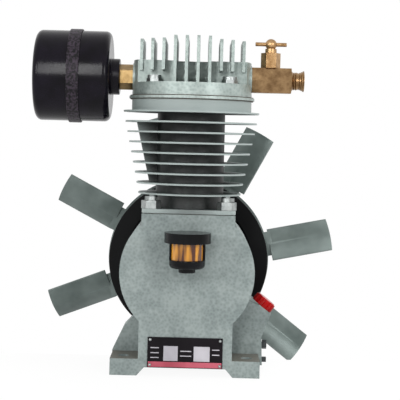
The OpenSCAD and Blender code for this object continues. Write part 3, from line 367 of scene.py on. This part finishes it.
def dressed(node, finish, width_mm=0.6, segments=2, name=None, angle=40, crease=32):
    """A softened copy of a CAD node that stands for it."""
    bm = node_mesh(node)
    soften(bm, width_mm, segments, angle)
    return make_piece(bm, name or node + "_look", finish, BODY_OF[node], (node,), crease=crease)


def slab(low, high, edge_mm=0.3, segments=2):
    """A box between two corners in mm, with rounded edges."""
    bm = bmesh.new()
    bmesh.ops.create_cube(bm, size=1.0)
    size = [(b - a) * MM for a, b in zip(low, high)]
    centre = [(a + b) / 2 * MM for a, b in zip(low, high)]
    bmesh.ops.scale(bm, vec=size, verts=bm.verts)
    bmesh.ops.translate(bm, vec=centre, verts=bm.verts)
    bmesh.ops.bevel(bm, geom=bm.edges[:], offset=edge_mm * MM, offset_type="OFFSET", segments=segments,
                    profile=0.5, affect="EDGES", clamp_overlap=True, material=-1)
    return bm


def join(parts):
    """Puts several bmeshes into one."""
    whole = bmesh.new()
    for part in parts:
        mesh = bpy.data.meshes.new("part")
        part.to_mesh(mesh)
        part.free()
        whole.from_mesh(mesh)
        bpy.data.meshes.remove(mesh)
    return whole


BODY_OF = {node: body for body, nodes in frame["record"]["behaviour"]["bodies"].items() for node in nodes}

FINISHES = {
    "crankcase_enamel": lambda: hammertone_enamel("crankcase_hammertone_enamel", "#626D6C", "#858F8D",
                                                  grime=True),
    # The cylinder's near-black root colour is painted shade over oily iron; its light grey tip colour is
    # painted light on the fin edges
    "cylinder_enamel": lambda: finned_enamel("cylinder_oily_enamel_painted_shade", "#121716", "#929C9A", 36, 56),
    "head_enamel": lambda: hammertone_enamel("head_glossy_enamel", "#7C8884", "#9EA9A5", 3.0, 0.15, 0.25,
                                             0.35),
    "fan_enamel": lambda: sprayed_enamel("fan_steel_enamel", "#4A5552", "#77827F", 0.4, 0.3, 0.45),
    # Near-black enamel on the belt pulley; its near black also paints the deep shade inside the flywheel's
    # dish
    "ring_enamel": lambda: sprayed_enamel("flywheel_black_enamel_and_painted_shade", "#030304", "#0B0C0D", 0.0, 0.4, 0.55, 0.1),
    "plug_enamel": lambda: sprayed_enamel("plug_black_oxide", "#0B0D0C", "#23282A"),
    "filter_nylon": lambda: moulded_plastic("filter_black_nylon", "#050308", "#0F0B15"),
    "band_nylon": lambda: knurled_band("filter_band_nylon", "#09070B", "#322A34"),
    "cup_nylon": lambda: moulded_plastic("oil_cup_black_nylon", "#040405", "#0C0D10"),
    "plug_nylon": lambda: moulded_plastic("filler_plug_red_nylon", "#7E0404", "#A60808"),
    # The oil cup's dark brown and bright amber streaks are painted shade and painted highlight on the glass
    "cup_acrylic": lambda: oil_cup_glass("oil_cup_amber_acrylic", "#D8942C", "#4C1E04"),
    "outlet_brass": lambda: machined_metal("outlet_turned_brass", "#6E5338", "#A98A64"),
    "bleed_brass": lambda: machined_metal("bleed_valve_brass", "#86643F", "#BE9C72", axis="Z"),
    "nipple_brass": lambda: machined_metal("nipple_yellow_brass", "#6E5836", "#A48A60"),
    "zinc_plate": lambda: machined_metal("fastener_zinc_plate", "#7C8180", "#B2B6B5", 0.3, 0.5, 0.5, "Z",
                                         0.08),
    "bearing_steel": lambda: machined_metal("bearing_ground_steel", "#8B8F95", "#C3C6CB", 0.12, 0.24, 0.4,
                                            "Y", 0.05),
    "reed_steel": lambda: machined_metal("reed_blued_steel", "#39465E", "#7A869C", 0.2, 0.35, 0.4, "Y", 0.05),
    "shaft_iron": lambda: machined_metal("shaft_turned_iron", "#55585C", "#8B8E92", 0.3, 0.5, 0.6, "Y", 0.15),
    "piston_aluminium": lambda: machined_metal("piston_turned_aluminium", "#8F9296", "#C6C9CC", 0.3, 0.5,
                                               0.6, "Z"),
    "bush_bronze": lambda: machined_metal("bush_turned_bronze", "#7D5A2C", "#B98D50", 0.25, 0.4, 0.5, "Y"),
    "gasket_fibre": lambda: pressed_fibre("gasket_pressed_fibre", "#2B2723", "#5A5148"),
    "filter_paper": lambda: pressed_fibre("filter_pleated_paper", "#B8AA84", "#E4DABA"),
    "seal_rubber": lambda: pressed_fibre("oil_seal_nitrile_rubber", "#0E0E0E", "#1F1F20"),
    "plate_print": lambda: sprayed_enamel("name_plate_black_print", "#09070A", "#151115", shine=0.1),
    "plate_field": lambda: sprayed_enamel("name_plate_pale_field", "#8B8890", "#B9B6BC"),
    "plate_strip": lambda: sprayed_enamel("name_plate_red_strip", "#8E2A3C", "#C05A6C"),
}

HIDDEN_FINISH = {
    "rear_gasket": "gasket_fibre", "base_gasket": "gasket_fibre", "head_gaskets": "gasket_fibre",
    "shaft_oil_seal": "seal_rubber", "bearing_outer_races": "bearing_steel",
    "bearing_inner_races": "bearing_steel", "bearing_balls": "bearing_steel",
    "shaft_key": "bearing_steel", "reed_stop": "bearing_steel",
    "reed_screws": "zinc_plate", "suction_reed": "reed_steel", "discharge_reed": "reed_steel",
    "piston": "piston_aluminium", "piston_rings": "shaft_iron", "wrist_pin": "bearing_steel",
    "wrist_pin_circlips": "reed_steel", "connecting_rod": "piston_aluminium", "rod_bushes": "bush_bronze",
    "crank_pin": "bearing_steel", "filter_element": "filter_paper", "bleed_spindle": "bleed_brass",
}


class PumpLook(bpy.types.PropertyGroup):
    """Sizes of the finishing details."""
    casting_edge: bpy.props.FloatProperty(
        name="Casting edge", description="Rounding of the crankcase's cast edges, in mm",
        default=1.4, min=0.2, max=3.0)
    fin_edge: bpy.props.FloatProperty(
        name="Fin edge", description="Rounding of the cooling fins' edges, in mm",
        default=0.7, min=0.1, max=1.0)
    thread_pitch: bpy.props.FloatProperty(
        name="Thread pitch", description="Pitch of the outlet's pipe thread, in mm",
        default=1.814, min=0.8, max=3.0)
    fixing_edge: bpy.props.FloatProperty(
        name="Fixing edge", description="Rounding of bolt and nut edges, in mm",
        default=0.5, min=0.1, max=1.0)
    floor_colour: bpy.props.FloatVectorProperty(
        name="Floor", description="Colour of the bench top", subtype="COLOR", size=3,
        default=(0.86, 0.86, 0.85))


def look():
    """The pump's own sizes, as set in the scene."""
    return bpy.context.scene.pump_look


class PUMPHEAD_OT_stage(bpy.types.Operator):
    """Sets the bench, the lights and the camera"""
    bl_idname = "pumphead.stage"
    bl_label = "Bench, lights and camera"

    def execute(self, context):
        scene = context.scene
        scene.view_settings.view_transform = "Standard"
        material, tree, surface, place = new_material("bench_top_pale_laminate", Roughness=0.7)
        surface.inputs["Base Color"].default_value = (*look().floor_colour, 1)
        seen = add_node(tree, "ShaderNodeMath", {"operation": "MULTIPLY"}, _0=seen_rays(tree),
                        _1=BENCH_WHITE)
        white = add_node(tree, "ShaderNodeEmission", None, Color=(1, 1, 1, 1), Strength=1.0)
        mixed = add_node(tree, "ShaderNodeMixShader", None, _0=seen.outputs[0], _1=surface.outputs[0],
                         _2=white.outputs[0])
        tree.links.new(mixed.outputs[0], tree.nodes["Material Output"].inputs["Surface"])
        bm = slab(*BENCH_BOX, 0.5)
        mesh = bpy.data.meshes.new("bench_top")
        bm.to_mesh(mesh)
        bm.free()
        mesh.materials.append(material)
        bench = bpy.data.objects.new("bench_top", mesh)
        context.collection.objects.link(bench)

        world = bpy.data.worlds.new("studio_air")
        world.use_nodes = True
        scene.world = world
        air = world.node_tree
        air.nodes.clear()
        power = add_node(air, "ShaderNodeMapRange", None, Value=seen_rays(air))
        power.inputs["To Min"].default_value = ROOM_LIGHT
        power.inputs["To Max"].default_value = 1.0
        sky = add_node(air, "ShaderNodeBackground", None, Color=(1, 1, 1, 1), Strength=power.outputs[0])
        add_node(air, "ShaderNodeOutputWorld", None, Surface=sky.outputs[0])

        for name, spot, aim_height, size, watts, mirrored in SOFTBOXES:
            lamp = bpy.data.lights.new(name, "AREA")
            lamp.shape = "RECTANGLE"
            lamp.size, lamp.size_y = size
            lamp.energy = watts
            light = bpy.data.objects.new(name, lamp)
            light.location = spot
            light.visible_glossy = mirrored
            towards = Vector((0, 0, aim_height)) - Vector(spot)
            light.rotation_euler = towards.to_track_quat("-Z", "Y").to_euler()
            context.collection.objects.link(light)

        camera = bpy.data.cameras.new("photo_camera")
        camera.lens = CAMERA_LENS
        camera.sensor_width = CAMERA_SENSOR
        camera.shift_y = CAMERA_SHIFT
        eye = bpy.data.objects.new("photo_camera", camera)
        eye.location = CAMERA_PLACE
        eye.rotation_euler = (math.radians(90), math.radians(CAMERA_ROLL), 0)
        context.collection.objects.link(eye)
        scene.camera = eye
        return {"FINISHED"}


class PUMPHEAD_OT_hidden_parts(bpy.types.Operator):
    """Gives the parts inside the pump their metals, fibres and rubber"""
    bl_idname = "pumphead.hidden_parts"
    bl_label = "Inner parts"

    def execute(self, context):
        for node, finish in HIDDEN_FINISH.items():
            mesh = frame["nodes"][node].data
            mesh.materials.clear()
            mesh.materials.append(material_of(finish))
        return {"FINISHED"}


class PUMPHEAD_OT_castings(bpy.types.Operator):
    """Rounds and paints the crankcase, cylinder, head, valve plate and rear housing"""
    bl_idname = "pumphead.castings"
    bl_label = "Castings"

    def execute(self, context):
        edge = look().casting_edge
        fin = look().fin_edge
        dressed("crankcase", "crankcase_enamel", edge, 3)
        dressed("rear_bearing_housing", "crankcase_enamel", 1.0)
        dressed("cylinder", "cylinder_enamel", fin)
        dressed("cylinder_head", "head_enamel", fin)
        dressed("valve_plate", "head_enamel", 0.4)
        return {"FINISHED"}


class PUMPHEAD_OT_fasteners(bpy.types.Operator):
    """Finishes the bolts, nuts, studs, rivets and plugs"""
    bl_idname = "pumphead.fasteners"
    bl_label = "Fasteners and plugs"

    def execute(self, context):
        edge = look().fixing_edge
        for node in ("rear_housing_screws", "cylinder_studs", "cylinder_nuts", "head_bolts", "shaft_nut"):
            dressed(node, "zinc_plate", edge)
        for node in ("name_plate_rivets", "fan_rivets"):
            dressed(node, "zinc_plate", 0.25)
        for node in ("oil_drain_plug", "oil_level_plug"):
            dressed(node, "plug_enamel", edge)
        dressed("oil_filler_plug", "plug_nylon", 1.0, 3)
        return {"FINISHED"}


class PUMPHEAD_OT_filter(bpy.types.Operator):
    """Finishes the inlet filter, its band and the brass nipple"""
    bl_idname = "pumphead.filter"
    bl_label = "Inlet filter"

    def execute(self, context):
        dressed("filter_cover", "filter_nylon", 1.0, 3)
        dressed("filter_body", "filter_nylon", 1.0, 3)
        dressed("filter_band", "band_nylon", 0.5)
        dressed("intake_nipple", "nipple_brass", 0.5)
        return {"FINISHED"}


class PUMPHEAD_OT_outlet(bpy.types.Operator):
    """Finishes the brass outlet, its thread and the bleed valve"""
    bl_idname = "pumphead.outlet"
    bl_label = "Outlet and bleed valve"

    def execute(self, context):
        bm = node_mesh("outlet_tee")
        soften(bm, 0.5)
        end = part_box("outlet_tee")[1][0]
        pitch = look().thread_pitch * MM
        long = THREAD_LONG * MM
        for turn in range(int(long / pitch) * 2):
            at = end - THREAD_CHAMFER * MM - turn * pitch / 2
            bmesh.ops.bisect_plane(bm, geom=bm.verts[:] + bm.edges[:] + bm.faces[:], dist=0.001 * MM,
                                   plane_co=(at, 0, 0), plane_no=(1, 0, 0))
            if turn % 2:
                cut = [v for v in bm.verts if abs(v.co.x - at) < 0.002 * MM
                       and THREAD_SKIN[0] * MM < math.hypot(v.co.y, v.co.z - PORT_Z) < THREAD_SKIN[1] * MM]
                bmesh.ops.scale(bm, vec=(1, THREAD_ROOT, THREAD_ROOT), verts=cut,
                                space=Matrix.Translation((0, 0, -PORT_Z)))
        make_piece(bm, "outlet_tee_look", "outlet_brass", BODY_OF["outlet_tee"], ("outlet_tee",), crease=25)
        for node in ("bleed_valve_body", "bleed_knob", "bleed_tee_bar"):
            dressed(node, "bleed_brass", 0.4)
        return {"FINISHED"}


class PUMPHEAD_OT_oil_cup(bpy.types.Operator):
    """Finishes the oil cup's cap, amber glass and cage"""
    bl_idname = "pumphead.oil_cup"
    bl_label = "Oil cup"

    def execute(self, context):
        dressed("oil_cup_cap", "cup_nylon", 1.2, 3)
        dressed("oil_cup_cage", "cup_nylon", 0.6)
        dressed("oil_cup_glass", "cup_acrylic", 0.3)
        return {"FINISHED"}


class PUMPHEAD_OT_name_plate(bpy.types.Operator):
    """Makes the bare name plate with its pale fields and red strip"""
    bl_idname = "pumphead.name_plate"
    bl_label = "Name plate"

    def execute(self, context):
        dressed("name_plate", "plate_print", 0.2)
        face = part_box("name_plate")[0][1] / MM
        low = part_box("name_plate")[0][2] / MM
        fields = [slab((x0, face - FIELD_THICK, low + FIELD_Z[0]), (x1, face, low + FIELD_Z[1]), 0.05, 1)
                  for x0, x1 in FIELDS_X]
        lines = [slab((x0, face - LINE_THICK, low + z), (x1, face, low + z + LINE_TALL), 0.04, 1)
                 for x0, x1, z in LINES]
        strip = slab((-STRIP_HALF, face - FIELD_THICK, low + STRIP_Z[0]),
                     (STRIP_HALF, face, low + STRIP_Z[1]), 0.05, 1)
        for bm, name, finish in ((join(fields), "name_plate_fields", "plate_field"),
                                 (join(lines), "name_plate_lines", "plate_field"),
                                 (strip, "name_plate_strip", "plate_strip")):
            make_piece(bm, name, finish, BODY_OF["name_plate"])
        return {"FINISHED"}


class PUMPHEAD_OT_flywheel(bpy.types.Operator):
    """Finishes the belt pulley, fan disc, fan blades and crankshaft"""
    bl_idname = "pumphead.flywheel"
    bl_label = "Fan flywheel"

    def execute(self, context):
        # The pulley halves' near-black enamel is partly painted shade inside the flywheel's dish
        dressed("pulley_front_half", "ring_enamel", 0.8)
        dressed("pulley_rear_half", "ring_enamel", 0.8)
        dressed("fan_disc", "fan_enamel", 0.4)
        for number in range(1, BLADES + 1):
            dressed("fan_blade_%d" % number, "fan_enamel", 0.25, 1, angle=60)
        dressed("crankshaft", "shaft_iron", 0.6)
        return {"FINISHED"}


OPERATORS = (PUMPHEAD_OT_stage, PUMPHEAD_OT_hidden_parts, PUMPHEAD_OT_castings, PUMPHEAD_OT_fasteners,
             PUMPHEAD_OT_filter, PUMPHEAD_OT_outlet, PUMPHEAD_OT_oil_cup, PUMPHEAD_OT_name_plate,
             PUMPHEAD_OT_flywheel)


class PUMPHEAD_PT_panel(bpy.types.Panel):
    """Lists the pump head's pieces and their sizes"""
    bl_label = "Pump Head"
    bl_idname = "PUMPHEAD_PT_panel"
    bl_space_type = "VIEW_3D"
    bl_region_type = "UI"
    bl_category = "Pump Head"

    def draw(self, context):
        for name in ("casting_edge", "fin_edge", "thread_pitch", "fixing_edge", "floor_colour"):
            self.layout.prop(context.scene.pump_look, name)
        for operator in OPERATORS:
            self.layout.operator(operator.bl_idname)


CLASSES = (PumpLook, *OPERATORS, PUMPHEAD_PT_panel)


def register():
    for item in CLASSES:
        bpy.utils.register_class(item)
    bpy.types.Scene.pump_look = bpy.props.PointerProperty(type=PumpLook)


def unregister():
    del bpy.types.Scene.pump_look
    for item in reversed(CLASSES):
        bpy.utils.unregister_class(item)


def main():
    register()
    for operator in OPERATORS:
        group, name = operator.bl_idname.split(".")
        getattr(getattr(bpy.ops, group), name)()


if __name__ == "__main__":
    main()
